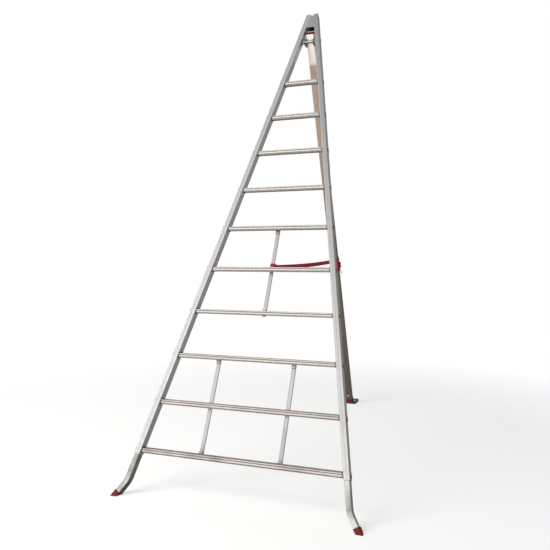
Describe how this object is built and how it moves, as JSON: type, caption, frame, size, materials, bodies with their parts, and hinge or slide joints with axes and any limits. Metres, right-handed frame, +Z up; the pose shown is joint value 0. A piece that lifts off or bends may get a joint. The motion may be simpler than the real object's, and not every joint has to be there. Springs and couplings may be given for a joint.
{
  "type": "orchard tripod ladder",
  "caption": "Tall aluminium orchard ladder with tapering stiles, ribbed treads, flared capped feet and one rear leg hinged at the head and held by a strap.",
  "frame": {"origin": "on the ground, at the middle of the ladder's footprint from side to side and from front to back", "axes": "+Z up, +X along the treads to the right of a person who climbs, +Y back from the climbing side towards the rear leg"},
  "size_m": [1.4194, 2.7302, 3.0556],
  "materials": {
    "tread_aluminium": "extruded, ribbed top",
    "stile_aluminium": "mill finish, drawn along its length",
    "plug_plastic": "moulded",
    "tube_aluminium": "drawn, scuffed",
    "red_plastic": "moulded, slightly worn",
    "strut_aluminium": "mill finish",
    "gusset_aluminium": "sheared plate",
    "leg_aluminium": "drawn along its length",
    "cheek_steel": "zinc plated plate",
    "nylon": "moulded",
    "zinc_steel": "zinc plated",
    "bright_steel": "polished",
    "black_rubber": "moulded",
    "shoe_steel": "galvanised plate",
    "webbing": "woven webbing"
  },
  "bodies": {
    "ladder": {"left_stile": "stile_aluminium", "right_stile": "stile_aluminium", "left_stile_plug": "plug_plastic", "right_stile_plug": "plug_plastic", "left_foot_tube": "tube_aluminium", "right_foot_tube": "tube_aluminium", "left_foot_cap": "red_plastic", "right_foot_cap": "red_plastic", "foot_rivets": "zinc_steel", "rung_01": "tread_aluminium", "rung_02": "tread_aluminium", "rung_03": "tread_aluminium", "rung_04": "tread_aluminium", "rung_05": "tread_aluminium", "rung_06": "tread_aluminium", "rung_07": "tread_aluminium", "rung_08": "tread_aluminium", "rung_09": "tread_aluminium", "rung_10": "tread_aluminium", "centre_strut": "strut_aluminium", "left_strut": "strut_aluminium", "right_strut": "strut_aluminium", "strut_saddles": "strut_aluminium", "strut_rivets": "zinc_steel", "front_gusset": "gusset_aluminium", "rear_gusset": "gusset_aluminium", "head_rivets": "zinc_steel", "hinge_pin": "zinc_steel", "hinge_washers": "zinc_steel", "hinge_sleeve": "zinc_steel", "hinge_bushes": "nylon", "strap_loop": "webbing"},
    "leg": {"leg_tube": "leg_aluminium", "leg_top_cap": "red_plastic", "left_hinge_cheek": "cheek_steel", "right_hinge_cheek": "cheek_steel", "cheek_bolts": "zinc_steel", "cheek_nuts": "zinc_steel", "leg_foot_cap": "red_plastic", "shoe_sole": "black_rubber", "shoe_plate": "shoe_steel", "shoe_bolt": "bright_steel", "shoe_nut": "zinc_steel", "strap_wrap": "webbing", "strap_knot": "webbing"},
    "strap_front": {"strap_front": "webbing"},
    "strap_rear": {"strap_rear": "webbing"}
  },
  "joints": [
    {"name": "leg_fold", "type": "hinge", "parent": "ladder", "child": "leg", "pos_m": [0, 0.02175, 2.83474], "axis": [1, 0, 0], "range_deg": [-45, 0], "deforming": ["strap_front", "strap_rear"]},
    {"name": "strap_swing", "type": "hinge", "parent": "ladder", "child": "strap_front", "pos_m": [0, -0.68944, 1.25281], "axis": [1, 0, 0], "range_deg": [-114, 0]},
    {"name": "strap_bend", "type": "hinge", "parent": "strap_front", "child": "strap_rear", "pos_m": [0, -0.02718, 1.25951], "axis": [1, 0, 0], "range_deg": [0, 174]}
  ],
  "couplings": [
    {"joint": "strap_swing", "follows": "leg_fold", "ratio": 2.4898},
    {"joint": "strap_bend", "follows": "leg_fold", "ratio": -3.8293}
  ]
}
